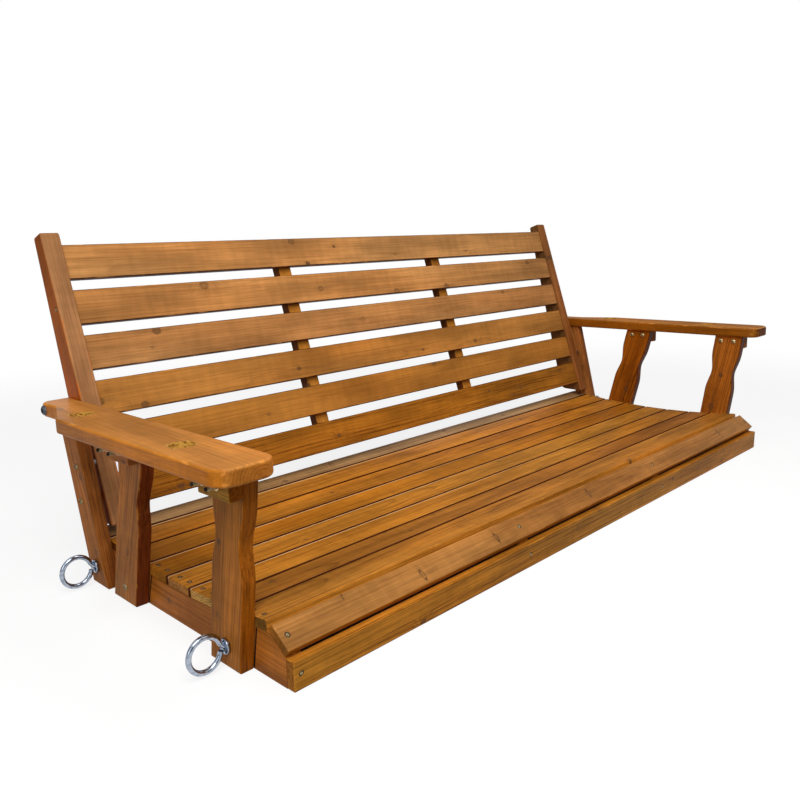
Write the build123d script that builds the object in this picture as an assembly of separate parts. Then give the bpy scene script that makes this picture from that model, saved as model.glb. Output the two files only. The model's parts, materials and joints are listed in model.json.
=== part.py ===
"""Slatted wooden porch swing: dished seat, tilted back, two armrests and four eye bolts.

While it is built, x runs along the seat from its middle, y runs back from the front face
of the apron, and z runs up from a level that lies foot_drop above the floor. At the end the
whole swing is slid along y and raised, so that the origin lies on the floor under the middle of
its box.
"""
from build123d import *
import os
from math import cos, radians, sin, tan

# Driving dimensions, in millimetres and degrees

# Seat
seat_length = 1500.0
seat_slat_count = 7
seat_slat_width = 60.5
front_slat_widths = (64.7, 55.9, 59.2)
last_slat_width = 43.7
seat_slat_gap = 2.8
seat_slat_thickness = 15.0
seat_front_edge = 53.0
seat_dip_back = 300.0
seat_dip_height = 63.0
seat_dish_radius = 1900.0
apron_height = 42.2
foot_drop = 2.2
apron_thickness = 15.0
waterfall_width = 42.0
waterfall_thickness = 14.0
waterfall_slope = 37.0
waterfall_gap = 1.8
waterfall_lift = 2.4
rail_thickness = 24.0
rear_rail_thickness = 22.0
joist_centre = 240.0

# Back: its slats' front faces lie in one tilted plane that meets the seat ahead of its rear edge
back_tilt = 18.8
back_foot_inset = 59.0
back_foot_height = 52.4
back_slat_count = 6
back_slat_width = 61.0
back_slat_pitch = 79.9
back_slat_thickness = 14.0
back_slat_start = 65.0
back_slat_setback = 4.0
slat_tenon = 8.0
back_post_width = 33.0
back_post_top_depth = 30.5
back_post_taper = 4.1
back_post_above_slat = 21.2
back_post_bottom = 90.0
stile_width = 32.5
stile_thickness = 21.0
stile_centre = 240.2
stile_margin = 4.0

# Armrests, from the outer face of the back posts outwards
arm_top_height = 304.1
arm_slope = 0.83
arm_thickness = 23.5
arm_front = 14.0
arm_past_back = 40.5
arm_width = 88.6
arm_tab_width = 50.6
arm_tab_length = 63.5
arm_taper_length = 93.0
arm_front_corner = 26.0
arm_tab_corner = 18.0
chain_hole_diameter = 35.0
chain_hole_out = 48.6
front_chain_hole_inset = 144.0
rear_chain_hole_inset = 157.5

# Uprights under the armrests, on the outer faces of the side rails
upright_thickness = 22.0
front_post_foot_back = 121.5
front_post_lean = -7.6
rear_post_foot_inset = 137.0
rear_post_lean = -13.5
post_half_width = 34.8
post_waist_half_width = 26.9
post_shoulder_drop = 42.0
post_waist_drop = 97.0
post_hip_drop = 152.0
strut_foot_inset = 52.0
strut_width = 52.0
strut_lean = 14.5
cleat_length = 70.0
cleat_height = 32.0
cleat_thickness = 21.0
cleat_behind_post = 4.0

# Sunk wood screws
screw_shank = 4.2
screw_head = 8.6
screw_sink = 0.5
slat_screw_length = 38.0
slat_screw_spacing = 26.0
frame_screw_length = 48.0
stile_screw_length = 28.0
cleat_screw_length = 46.0
cleat_screw_beside_bolt = 9.0
slat_end_screw_length = 60.0
screwed_back_slats = (2, 5)
apron_screw_height = 20.5
rear_rail_screw_height = 30.0

# Domed screws and bolts
upright_screw_shank = 5.5
upright_screw_head = 11.0
upright_screw_rise = 3.0
strut_spacer_length = 8.6
strut_spacer_diameter = 16.0
strut_screw_length = 52.0
strut_screw_heights = (134.0, 193.0)
strut_screw_offsets = (6.4, -3.9)
post_screw_length = 42.0
post_screw_height = 23.0
bolt_shank = 6.0
bolt_head = 13.0
bolt_head_rise = 3.2
bolt_spacing = 32.0
bolt_drop = 13.0
bolt_tail = 20.0
bolt_nut_flats = 10.0
bolt_nut_height = 5.2
tab_bolt_shank = 7.0
tab_bolt_head = 17.0
tab_bolt_rise = 5.0
tab_bolt_length = 72.0
tab_bolt_inset = 20.0

# Eye bolts
eye_wire = 8.0
eye_outer_diameter = 56.5
eye_height = 30.0
front_eye_ahead = 3.0
eye_collar_diameter = 22.0
eye_collar_thickness = 5.0
eye_washer_thickness = 2.0
eye_nut_flats = 13.0
eye_nut_height = 7.0
eye_tail = 4.0

# Roundings and clearances
slat_round = 2.0
seat_nose_round = 2.0
board_round = 1.6
back_slat_round = 2.4
back_post_round = 3.0
back_post_top_round = 5.0
back_post_heel_round = 20.0
arm_round = 4.5
upright_round = 2.0
collar_round = 1.2
tip_chamfer = 1.0
dome_share = 0.8
screw_clearance = 0.05
tenon_clearance = 0.1
running_clearance = 0.05
turning_gap = 0.2

# Places along the length that follow from them
seat_half = seat_length / 2
rail_inner = seat_half - rail_thickness
rail_middle = seat_half - rail_thickness / 2
post_outer = seat_half - strut_spacer_length
post_inner = post_outer - back_post_width
upright_outer = seat_half + upright_thickness
cleat_outer = upright_outer + cleat_thickness

sides = {"left": -1, "right": 1}
nodes = {}
far = 3 * seat_length
standing = (Align.CENTER, Align.CENTER, Align.MIN)
hanging = (Align.CENTER, Align.CENTER, Align.MAX)


def facing_x(x, y, z, sign):
    """A frame at a point, whose z axis runs along the swing's x axis."""
    return Plane(origin=(x, y, z), x_dir=(0, 1, 0), z_dir=(sign, 0, 0))


def tilted(y, z, turn):
    """A frame on the middle line whose x axis is the swing's, leaned forward by a turn."""
    return Plane(origin=(0, y, z), x_dir=(1, 0, 0), z_dir=(0, -sin(turn), cos(turn)))


def profile_slab(points, x_from, x_to):
    """A slab between two x values, with an outline given as (y, z) points."""
    outline = make_face(Polyline(*points, close=True))
    return extrude(facing_x(x_from, 0, 0, 1) * outline, amount=x_to - x_from)


def round_all(board, radius):
    """Ease every edge of a plain board."""
    return fillet(board.edges(), radius)


def mirrored(shape, sign):
    """The right-hand shape, or its mirror image for the left side."""
    return shape if sign > 0 else mirror(shape, Plane.YZ)


def drill(names, tool):
    """Take a tool out of each named piece."""
    for name in names:
        nodes[name] = nodes[name] - tool


def sunk_screw(length, grow=0.0):
    """A wood screw that points down -z, with the top of its flat head at z = 0."""
    outline = Polyline(
        (0, 0),
        (screw_head / 2 + grow, 0),
        (screw_shank / 2 + grow, (screw_shank - screw_head) / 2),
        (screw_shank / 2 + grow, screw_shank - length),
        (0, -length - grow),
        close=True,
    )
    return revolve(Plane.XZ * make_face(outline), Axis.Z)


def drive_sunk_screw(group, frame, length, boards):
    """Sink a screw into a face, along -z of its frame, and cut its hole in the boards."""
    seat = frame * Pos(0, 0, -screw_sink)
    mouth = Cylinder(screw_head / 2 + screw_clearance, screw_head, align=standing)
    nodes.setdefault(group, []).append(seat * sunk_screw(length))
    drill(boards, seat * (sunk_screw(length, screw_clearance) + mouth))


def domed_screw(length, shank, head, rise):
    """A screw or bolt that points down -z, with a domed head that stands on z = 0."""
    stem = Cylinder(shank / 2, length, align=hanging)
    stem = chamfer(stem.faces().sort_by(Axis.Z)[0].edges(), tip_chamfer)
    cap = Cylinder(head / 2, rise, align=standing)
    cap = fillet(cap.faces().sort_by(Axis.Z)[-1].edges(), dome_share * rise)
    return stem + cap


def drive_domed_screw(group, frame, screw, shank, length, boards):
    """Stand a domed screw on a face and drill the boards that it passes through."""
    nodes.setdefault(group, []).append(frame * screw)
    hole = Cylinder(shank / 2 + screw_clearance, length + screw_clearance, align=hanging)
    drill(boards, frame * hole)


def nut(flats, height, shank, clearance):
    """A hexagon nut that stands on z = 0."""
    blank = extrude(RegularPolygon(flats / 2, 6, major_radius=False), amount=height)
    return blank - Cylinder(shank / 2 + clearance, 3 * height)


# Seat slats: each lies flat on one dished curve, the last one narrower
def seat_frame(along):
    """The frame on top of the seat, at a distance along its curve from the lowest line."""
    turn = along / seat_dish_radius
    y = seat_dip_back + seat_dish_radius * sin(turn)
    z = seat_dip_height + seat_dish_radius * (1 - cos(turn))
    return tilted(y, z, turn)


plain_slats = [seat_slat_width] * (seat_slat_count - len(front_slat_widths))
slat_widths = [*front_slat_widths, *plain_slats, last_slat_width]
slat_middles = []
slat_front = seat_front_edge - seat_dip_back
for width in slat_widths:
    slat_middles.append(slat_front + width / 2)
    slat_front += width + seat_slat_gap

rail_top = []
for number, (width, middle) in enumerate(zip(slat_widths, slat_middles), start=1):
    slat = Box(seat_length, width, seat_slat_thickness, align=hanging)
    if number == 1:
        nose = slat.edges().filter_by(Axis.X).group_by(Axis.Z)[-1].sort_by(Axis.Y)[0]
        slat = fillet(nose, seat_nose_round)
        slat = fillet(slat.edges().filter_by(Axis.X).group_by(Axis.Y)[-1], slat_round)
    else:
        slat = round_all(slat, slat_round)
    nodes[f"seat_slat_{number}"] = seat_frame(middle) * slat
    for edge in (-width / 2, width / 2):
        under = seat_frame(middle).from_local_coords((0, edge, -seat_slat_thickness))
        rail_top.append((under.Y, under.Z))

# Waterfall board in front of the first slat, on the sloped nose of the rails, and the apron
slope = radians(waterfall_slope)
nose_back = rail_top[0][0] - waterfall_gap
nose_height = rail_top[0][1] + waterfall_lift
waterfall_frame = tilted(nose_back, nose_height, slope)
waterfall = Box(
    seat_length,
    waterfall_width,
    waterfall_thickness,
    align=(Align.CENTER, Align.MAX, Align.MIN),
)
nodes["front_waterfall_slat"] = waterfall_frame * round_all(waterfall, board_round)
apron = Box(
    seat_length,
    apron_thickness,
    apron_height,
    align=(Align.CENTER, Align.MIN, Align.MIN),
)
nodes["front_apron"] = Pos(0, 0, -foot_drop) * round_all(apron, board_round)

# Rails and joists share one outline, and the slats lie on its top
seat_rear = rail_top[-1][0]
nose_foot = nose_height - (nose_back - apron_thickness) * tan(slope)
rail_outline = [
    (apron_thickness, -foot_drop),
    (seat_rear, -foot_drop),
    *reversed(rail_top),
    (nose_back, nose_height),
    (apron_thickness, nose_foot),
]
rear_rail_room = Pos(0, seat_rear - rear_rail_thickness, 0) * Box(
    far,
    far,
    far,
    align=(Align.CENTER, Align.MIN, Align.CENTER),
)
nodes["rear_rail"] = profile_slab(rail_outline, -rail_inner, rail_inner) & rear_rail_room
for side, sign in sides.items():
    nodes[f"side_rail_{side}"] = profile_slab(rail_outline, sign * rail_inner, sign * seat_half)
    joist_start = sign * joist_centre - rail_thickness / 2
    joist = profile_slab(rail_outline, joist_start, joist_start + rail_thickness)
    nodes[f"seat_joist_{side}"] = joist - rear_rail_room

# Back slats: in this frame y runs up the back and z out of its front
tilt = radians(back_tilt)
back_foot_back = seat_rear - back_foot_inset
back_frame = tilted(back_foot_back, back_foot_height, radians(90) - tilt)
slat_starts = [back_slat_start + back_slat_pitch * place for place in range(back_slat_count)]
back_slat_top = slat_starts[-1] + back_slat_width


def back_slat_block(start, grow=0.0):
    """One back slat with the ends that go into the posts, in the frame of the back."""
    block = Box(
        2 * (post_inner + slat_tenon + grow),
        back_slat_width + 2 * grow,
        back_slat_thickness + 2 * grow,
    )
    return Pos(0, start + back_slat_width / 2, -back_slat_thickness / 2) * block


for number, start in enumerate(slat_starts, start=1):
    nodes[f"back_slat_{number}"] = back_frame * round_all(back_slat_block(start), back_slat_round)

# Back posts: straight front edge, tapered depth, cut level at the foot, with a pocket per slat
post_top = back_slat_top + back_post_above_slat
foot_along = (back_post_bottom - back_foot_height - back_slat_setback * sin(tilt)) / cos(tilt)
taper = tan(radians(back_post_taper))
post_foot_depth = back_post_top_depth + (post_top - foot_along) * taper
heel_rise = post_foot_depth * sin(tilt) / (cos(tilt) + taper * sin(tilt))
post_outline = make_face(
    Polyline(
        (foot_along, back_slat_setback),
        (post_top, back_slat_setback),
        (post_top, back_slat_setback - back_post_top_depth),
        (foot_along + heel_rise, back_slat_setback - post_foot_depth + heel_rise * taper),
        close=True,
    )
)
post_outline = fillet(post_outline.vertices().group_by(Axis.X)[-1], back_post_top_round)
post_outline = fillet(post_outline.vertices().sort_by(Axis.Y)[0], back_post_heel_round)
post_side = Plane(
    origin=back_frame.from_local_coords((post_inner, 0, 0)),
    x_dir=back_frame.y_dir,
    z_dir=(1, 0, 0),
)
back_post = round_all(extrude(post_side * post_outline, amount=back_post_width), back_post_round)
for start in slat_starts:
    back_post = back_post - back_frame * back_slat_block(start, tenon_clearance)

# Two stiles cross the rear faces of the back slats
stile = Box(
    stile_width,
    back_slat_top - back_slat_start - 2 * stile_margin,
    stile_thickness,
    align=(Align.CENTER, Align.MIN, Align.MAX),
)
stile = round_all(stile, board_round)
stile = Pos(stile_centre, back_slat_start + stile_margin, -back_slat_thickness) * stile
for side, sign in sides.items():
    nodes[f"back_post_{side}"] = mirrored(back_post, sign)
    nodes[f"back_stile_{side}"] = mirrored(back_frame * stile, sign)

# Armrests: a wide board, falling a little to the rear, that narrows to a tab beside the back post
fall = radians(arm_slope)
arm_frame = tilted(0, arm_top_height, -fall)
arm_rear = back_foot_back + (arm_top_height - back_foot_height) * tan(tilt) + arm_past_back
arm_outer = post_outer + arm_width
arm_tab_outer = post_outer + arm_tab_width
arm_outline = make_face(
    Polyline(
        (post_outer, arm_front),
        (arm_outer, arm_front),
        (arm_outer, arm_rear - arm_tab_length - arm_taper_length),
        (arm_tab_outer, arm_rear - arm_tab_length),
        (arm_tab_outer, arm_rear),
        (post_outer, arm_rear),
        close=True,
    )
)
arm_outline = fillet(arm_outline.vertices().group_by(Axis.Y)[0], arm_front_corner)
arm_outline = fillet(arm_outline.vertices().group_by(Axis.Y)[-1].sort_by(Axis.X)[-1], arm_tab_corner)
armrest = extrude(arm_outline, amount=-arm_thickness)
armrest = fillet(armrest.edges().filter_by(Axis.Z, reverse=True), arm_round)
for back in (arm_front + front_chain_hole_inset, arm_rear - rear_chain_hole_inset):
    chain_hole = Cylinder(chain_hole_diameter / 2, 3 * arm_thickness)
    armrest = armrest - Pos(post_outer + chain_hole_out, back, 0) * chain_hole

# Uprights lean in the plane of the side, cut off at the floor and under the armrest
over_arm_underside = arm_frame * Pos(0, 0, -arm_thickness) * Box(far, far, far, align=standing)
under_floor = Pos(0, 0, -foot_drop) * Box(far, far, far, align=hanging)


def arm_underside(back):
    """Height of the underside of the armrests, at a distance from the front."""
    return arm_top_height - arm_thickness / cos(fall) - back * tan(fall)


def upright(foot_back, lean, outline):
    """A board on the outer face of the right side rail, leaned about its foot."""
    stand = facing_x(seat_half, foot_back, 0, 1) * Rot(0, 0, -lean)
    board = extrude(stand * outline, amount=upright_thickness)
    board = board - over_arm_underside - under_floor
    return fillet(board.edges().filter_by(Axis.X, reverse=True), upright_round)


def arm_post_outline(foot_back, lean):
    """Two straight edges that draw in to a waist between a shoulder and a hip."""
    top = arm_underside(foot_back) / cos(radians(lean))
    head = top + arm_thickness
    heel = -arm_thickness
    waist = Spline(
        (post_half_width, top - post_shoulder_drop),
        (post_waist_half_width, top - post_waist_drop),
        (post_half_width, top - post_hip_drop),
        tangents=((0, -1), (0, -1)),
    )
    upper = Polyline((0, head), (post_half_width, head), waist @ 0)
    lower = Polyline(waist @ 1, (post_half_width, heel), (0, heel))
    middle = Line((0, heel), (0, head))
    half = make_face(upper.edges() + waist.edges() + lower.edges() + middle.edges())
    return half + mirror(half, Plane.YZ)


arm_posts = {
    "front": (front_post_foot_back, front_post_lean),
    "rear": (seat_rear - rear_post_foot_inset, rear_post_lean),
}
cleat_middles = {}
for row, (foot_back, lean) in arm_posts.items():
    top_back = foot_back + arm_underside(foot_back) * tan(radians(lean))
    cleat_middles[row] = top_back + cleat_behind_post
strut_foot_back = seat_rear - strut_foot_inset
strut = upright(strut_foot_back, strut_lean, Rectangle(strut_width, 3 * arm_top_height))

for side, sign in sides.items():
    nodes[f"armrest_{side}"] = mirrored(arm_frame * armrest, sign)
    nodes[f"back_strut_{side}"] = mirrored(strut, sign)
    for row, (foot_back, lean) in arm_posts.items():
        post = upright(foot_back, lean, arm_post_outline(foot_back, lean))
        nodes[f"{row}_arm_post_{side}"] = mirrored(post, sign)
        cleat = Box(
            cleat_thickness,
            cleat_length,
            cleat_height,
            align=(Align.MIN, Align.CENTER, Align.MAX),
        )
        cleat = Pos(upright_outer, cleat_middles[row], -arm_thickness) * round_all(cleat, board_round)
        nodes[f"{row}_arm_cleat_{side}"] = mirrored(arm_frame * cleat, sign)

# Sunk screws that hold the seat together
for side, sign in sides.items():
    rail = f"side_rail_{side}"
    bearer_joist = f"seat_joist_{side}"
    for number, middle in enumerate(slat_middles, start=1):
        pair = (-slat_screw_spacing / 2, slat_screw_spacing / 2)
        for offset in pair if number <= seat_slat_count else (0,):
            top = seat_frame(middle) * Pos(sign * rail_middle, offset, 0)
            drive_sunk_screw("seat_slat_screws", top, slat_screw_length, (f"seat_slat_{number}", rail))
    for out, bearer in ((rail_middle, rail), (joist_centre, bearer_joist)):
        face = waterfall_frame * Pos(sign * out, -waterfall_width / 2, waterfall_thickness)
        drive_sunk_screw("frame_screws", face, slat_screw_length, ("front_waterfall_slat", bearer))
        front = Pos(sign * out, 0, apron_screw_height) * Rot(90, 0, 0)
        drive_sunk_screw("frame_screws", front, frame_screw_length, ("front_apron", bearer))
    rear = Pos(sign * joist_centre, seat_rear, rear_rail_screw_height) * Rot(-90, 0, 0)
    drive_sunk_screw("frame_screws", rear, frame_screw_length, ("rear_rail", bearer_joist))
    end_back = seat_rear - rear_rail_thickness / 2
    end = facing_x(sign * seat_half, end_back, rear_rail_screw_height, sign)
    drive_sunk_screw("frame_screws", end, frame_screw_length, (rail, "rear_rail"))

# Sunk screws in the back: stiles into slats from behind, and two slats held through each post
for side, sign in sides.items():
    stile_back = -back_slat_thickness - stile_thickness
    for number, start in enumerate(slat_starts, start=1):
        middle = start + back_slat_width / 2
        behind = back_frame * Pos(sign * stile_centre, middle, stile_back) * Rot(180, 0, 0)
        boards = (f"back_stile_{side}", f"back_slat_{number}")
        drive_sunk_screw("stile_screws", behind, stile_screw_length, boards)
    for number in screwed_back_slats:
        middle = slat_starts[number - 1] + back_slat_width / 2
        slat_end = back_frame * Pos(sign * post_outer, middle, -back_slat_thickness / 2)
        boards = (f"back_post_{side}", f"back_slat_{number}")
        drive_sunk_screw("back_slat_screws", slat_end * Rot(0, sign * 90, 0), slat_end_screw_length, boards)

# Sunk screws up through each cleat into the armrest, beside the two bolts
cleat_screw_offset = bolt_spacing / 2 + cleat_screw_beside_bolt
for side, sign in sides.items():
    for row, middle in cleat_middles.items():
        for offset in (-cleat_screw_offset, cleat_screw_offset):
            out = sign * (upright_outer + cleat_thickness / 2)
            under = arm_frame * Pos(out, middle + offset, -arm_thickness - cleat_height) * Rot(180, 0, 0)
            boards = (f"{row}_arm_cleat_{side}", f"armrest_{side}")
            drive_sunk_screw("cleat_screws", under, cleat_screw_length, boards)

# Domed screws: struts through spacers into the back posts, rear arm posts into the side rails
strut_screw = domed_screw(strut_screw_length, upright_screw_shank, upright_screw_head, upright_screw_rise)
post_screw = domed_screw(post_screw_length, upright_screw_shank, upright_screw_head, upright_screw_rise)
spacer = Cylinder(strut_spacer_diameter / 2, strut_spacer_length, align=standing)
spacer = spacer - Cylinder(upright_screw_shank / 2 + screw_clearance, 3 * strut_spacer_length)
for side, sign in sides.items():
    for height, offset in zip(strut_screw_heights, strut_screw_offsets):
        back = strut_foot_back + height * tan(radians(strut_lean)) + offset
        drive_domed_screw(
            "strut_screws",
            facing_x(sign * upright_outer, back, height, sign),
            strut_screw,
            upright_screw_shank,
            strut_screw_length,
            (f"back_strut_{side}", f"back_post_{side}"),
        )
        gap = facing_x(sign * post_outer, back, height, sign)
        nodes.setdefault("strut_spacers", []).append(gap * spacer)
    foot_back, lean = arm_posts["rear"]
    back = foot_back + post_screw_height * tan(radians(lean))
    drive_domed_screw(
        "arm_post_screws",
        facing_x(sign * upright_outer, back, post_screw_height, sign),
        post_screw,
        upright_screw_shank,
        post_screw_length,
        (f"rear_arm_post_{side}", f"side_rail_{side}"),
    )

# Bolts through the top of each arm post and its cleat, headed inside, with a nut outside
bolt_length = upright_thickness + cleat_thickness + bolt_tail
bolt = domed_screw(bolt_length, bolt_shank, bolt_head, bolt_head_rise)
bolt_nut = nut(bolt_nut_flats, bolt_nut_height, bolt_shank, screw_clearance)
for side, sign in sides.items():
    for row, middle in cleat_middles.items():
        for back in (middle - bolt_spacing / 2, middle + bolt_spacing / 2):
            height = arm_underside(back) - bolt_drop
            drive_domed_screw(
                "arm_post_bolts",
                facing_x(sign * seat_half, back, height, -sign),
                bolt,
                bolt_shank,
                bolt_length,
                (f"{row}_arm_post_{side}", f"{row}_arm_cleat_{side}"),
            )
            outside = facing_x(sign * cleat_outer, back, height, sign)
            nodes.setdefault("arm_post_nuts", []).append(outside * bolt_nut)

# Bolts through the tabs of the armrests into the back posts
tab_bolt = domed_screw(tab_bolt_length, tab_bolt_shank, tab_bolt_head, tab_bolt_rise)
tab_bolt_back = arm_rear - tab_bolt_inset
tab_bolt_height = arm_underside(tab_bolt_back) + arm_thickness / 2
for side, sign in sides.items():
    drive_domed_screw(
        "arm_tab_bolts",
        facing_x(sign * arm_tab_outer, tab_bolt_back, tab_bolt_height, sign),
        tab_bolt,
        tab_bolt_shank,
        tab_bolt_length,
        (f"armrest_{side}", f"back_post_{side}"),
    )

# Eye bolts: each turns in one hole through an upright and the side rail behind it
eye_stack = upright_thickness + rail_thickness + 2 * turning_gap
eye_shank_length = eye_stack + eye_washer_thickness + eye_nut_height + eye_tail
eye_ring_out = eye_collar_thickness + eye_outer_diameter / 2
eye_ring_radius = (eye_outer_diameter - eye_wire) / 2
eye_hole = eye_wire / 2 + running_clearance
ring = Torus(eye_ring_radius, eye_wire / 2)
ring = Pos(0, 0, eye_ring_out) * Rot(0, 90, 0) * ring
shank = Cylinder(eye_wire / 2, eye_shank_length + eye_collar_thickness + eye_wire / 2, align=standing)
eye_bolt = ring + Pos(0, 0, -eye_shank_length) * shank
collar = Cylinder(eye_collar_diameter / 2, eye_collar_thickness, align=standing)
collar = round_all(collar, collar_round) - Cylinder(eye_hole, 3 * eye_collar_thickness)
washer = Cylinder(eye_collar_diameter / 2, eye_washer_thickness, align=hanging)
washer = washer - Cylinder(eye_hole, 3 * eye_washer_thickness)
eye_nut = nut(eye_nut_flats, eye_nut_height, eye_wire, running_clearance)
eye_drill = Cylinder(eye_hole, eye_shank_length, align=hanging)

front_eye_back = front_post_foot_back + eye_height * tan(radians(front_post_lean)) - front_eye_ahead
rear_eye_back = strut_foot_back + eye_height * tan(radians(strut_lean))
eye_rows = {
    "front": (front_eye_back, "front_arm_post"),
    "rear": (rear_eye_back, "back_strut"),
}
for side, sign in sides.items():
    for row, (back, board) in eye_rows.items():
        face = facing_x(sign * (upright_outer + turning_gap), back, eye_height, sign)
        inside = face * Pos(0, 0, -eye_stack)
        nodes[f"eye_bolt_{row}_{side}"] = face * eye_bolt
        nodes[f"eye_washers_{row}_{side}"] = [face * collar, inside * washer]
        nut_seat = inside * Pos(0, 0, -eye_washer_thickness - eye_nut_height)
        nodes[f"eye_nut_{row}_{side}"] = nut_seat * eye_nut
        drill((f"{board}_{side}", f"side_rail_{side}"), face * eye_drill)

# One file per node, with the origin on the floor under the middle of the swing
solids = {}
for name, part in nodes.items():
    pieces = part if isinstance(part, list) else [part]
    solids[name] = [solid for piece in pieces for solid in piece.solids()]
swing = Compound([solid for group in solids.values() for solid in group])
middle_back = swing.bounding_box().center().Y
os.makedirs("parts", exist_ok=True)
for name, group in solids.items():
    placed = [Pos(0, -middle_back, foot_drop) * solid for solid in group]
    export_step(placed[0] if len(placed) == 1 else Compound(placed), f"parts/{name}.step")
box = swing.bounding_box()
print("nodes", len(nodes))
print("size", round(box.size.X, 2), round(box.size.Y, 2), round(box.size.Z, 2))
print("slid forward by", round(middle_back, 3))
print("chain holes at", arm_front + front_chain_hole_inset, round(arm_rear - rear_chain_hole_inset, 3))
print("eye bolts at", round(front_eye_back, 3), round(rear_eye_back, 3))
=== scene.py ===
# %% [markdown]
# # A porch swing in stained softwood
# The swing is a long slatted bench of orange-brown softwood, with bright steel eye bolts at its
# corners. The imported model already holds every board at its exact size, so the boards stay as they
# are and this lesson gives them their wood. The screws, bolts, nuts and eye bolts are modelled
# again here, because a plain solid lacks their recesses, threads and bends.

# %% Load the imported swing
import json
from functools import partial
from math import cos, pi, radians
from random import Random

import bpy
import numpy as np
from mathutils import Matrix, Vector


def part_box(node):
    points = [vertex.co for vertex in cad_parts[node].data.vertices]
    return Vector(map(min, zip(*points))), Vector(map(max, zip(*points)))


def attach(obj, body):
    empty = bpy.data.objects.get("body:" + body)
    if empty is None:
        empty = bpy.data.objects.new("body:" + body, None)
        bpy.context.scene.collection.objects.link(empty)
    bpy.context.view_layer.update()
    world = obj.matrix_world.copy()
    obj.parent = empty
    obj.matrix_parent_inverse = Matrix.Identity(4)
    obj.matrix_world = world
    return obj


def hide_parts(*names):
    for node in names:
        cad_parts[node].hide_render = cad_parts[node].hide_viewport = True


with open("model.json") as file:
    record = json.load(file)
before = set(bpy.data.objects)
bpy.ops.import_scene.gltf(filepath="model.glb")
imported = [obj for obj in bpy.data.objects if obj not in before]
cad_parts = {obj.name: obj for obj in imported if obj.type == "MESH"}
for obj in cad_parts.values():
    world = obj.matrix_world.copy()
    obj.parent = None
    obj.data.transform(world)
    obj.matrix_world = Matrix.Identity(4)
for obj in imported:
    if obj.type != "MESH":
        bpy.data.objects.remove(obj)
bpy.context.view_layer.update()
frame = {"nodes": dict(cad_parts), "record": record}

# %% [markdown]
# ## Camera
# The picture was taken from the front left, a little above the armrests, with a normal lens. The
# camera could be aimed with a constraint, but a turn, a dip and a slight roll say the same thing
# in three angles and leave nothing live in the scene.

# %% Place the camera
camera_place = Vector((-1.2903, -1.0649, 0.5691))
camera_turn = 0.7952
camera_dip = 0.2140
camera_roll = -0.0186
camera_lens = 35.56

camera_axes = Matrix.Rotation(-camera_turn, 4, "Z") @ Matrix.Rotation(pi / 2 - camera_dip, 4, "X")
camera_axes = camera_axes @ Matrix.Rotation(camera_roll, 4, "Z")
camera = bpy.data.objects.new("camera", bpy.data.cameras.new("camera"))
bpy.context.scene.collection.objects.link(camera)
camera.data.sensor_width = 36
camera.data.lens = camera_lens
camera.data.clip_start = 0.05
camera.matrix_world = Matrix.Translation(camera_place) @ camera_axes
bpy.context.scene.camera = camera
bpy.context.scene.view_settings.view_transform = "Standard"
print("camera looks along", [round(-c, 3) for c in camera_axes.col[2].xyz])

# %% [markdown]
# ## Nodes by name
# Every light and finish below is a small network of shader nodes. Typing each one out would bury
# the idea, so a few short helpers add a node, set what is fixed and link what comes from another.
# The last one turns a colour as it looks on a screen into the linear colour that a shader takes.

# %% Helpers that add shader nodes
def put(tree, kind, inputs=None, **settings):
    """Adds a node; an input given as a socket is linked, and any other value is set."""
    node = tree.nodes.new(kind if kind.startswith("NodeGroup") else "ShaderNode" + kind)
    for name, value in settings.items():
        setattr(node, name, value)
    for name, value in (inputs or {}).items():
        if isinstance(value, bpy.types.NodeSocket):
            tree.links.new(value, node.inputs[name])
        else:
            node.inputs[name].default_value = value
    return node


def calc(tree, operation, *values, clamp=False):
    node = put(tree, "Math", dict(enumerate(values)), operation=operation, use_clamp=clamp)
    return node.outputs[0]


def times(tree, first, second):
    return calc(tree, "MULTIPLY", first, second)


def turn(tree, operation, *values):
    node = put(tree, "VectorMath", dict(enumerate(values)), operation=operation)
    return node.outputs["Value" if operation in ("LENGTH", "DOT_PRODUCT") else "Vector"]


def mixed(tree, share, first, second, blend="MIX"):
    inputs = {0: share, 6: first, 7: second}
    return put(tree, "Mix", inputs, data_type="RGBA", blend_type=blend).outputs[2]


def noise(tree, place, detail, rough=0.5, scale=1.0):
    inputs = {"Vector": place, "Scale": scale, "Detail": detail, "Roughness": rough}
    return put(tree, "TexNoise", inputs).outputs


def parts(tree, vector):
    return put(tree, "SeparateXYZ", {0: vector}).outputs


def dyed(tree, color, dye):
    return mixed(tree, 1.0, color, dye, "MULTIPLY")


def new_material(name):
    """An empty material, and its tree of nodes."""
    material = bpy.data.materials.new(name)
    material.use_nodes = True
    material.node_tree.nodes.clear()
    return material, material.node_tree


def new_group(name, inputs, outputs):
    """A node group, and what goes into it; inputs and outputs give the kind of each value."""
    group = bpy.data.node_groups.new(name, "ShaderNodeTree")
    for way, values in (("INPUT", inputs), ("OUTPUT", outputs)):
        for value, kind in values.items():
            group.interface.new_socket(value, in_out=way, socket_type="NodeSocket" + kind)
    return group, put(group, "NodeGroupInput").outputs


def slope(tree, value, low, high, to_low=0.0, to_high=1.0):
    """A smooth change from to_low, where the value is low, to to_high, where it is high."""
    inputs = {"Value": value, "From Min": low, "From Max": high, "To Min": to_low, "To Max": to_high}
    return put(tree, "MapRange", inputs, interpolation_type="SMOOTHSTEP").outputs[0]


def tone(red, green, blue):
    """A colour as a picture shows it, 0 to 255, made linear for a shader."""
    shares = [c / 255 for c in (red, green, blue)]
    return tuple(c / 12.92 if c <= 0.04045 else ((c + 0.055) / 1.055) ** 2.4 for c in shares) + (1.0,)


print("helpers ready, mid grey is", round(tone(128, 128, 128)[0], 3))

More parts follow.
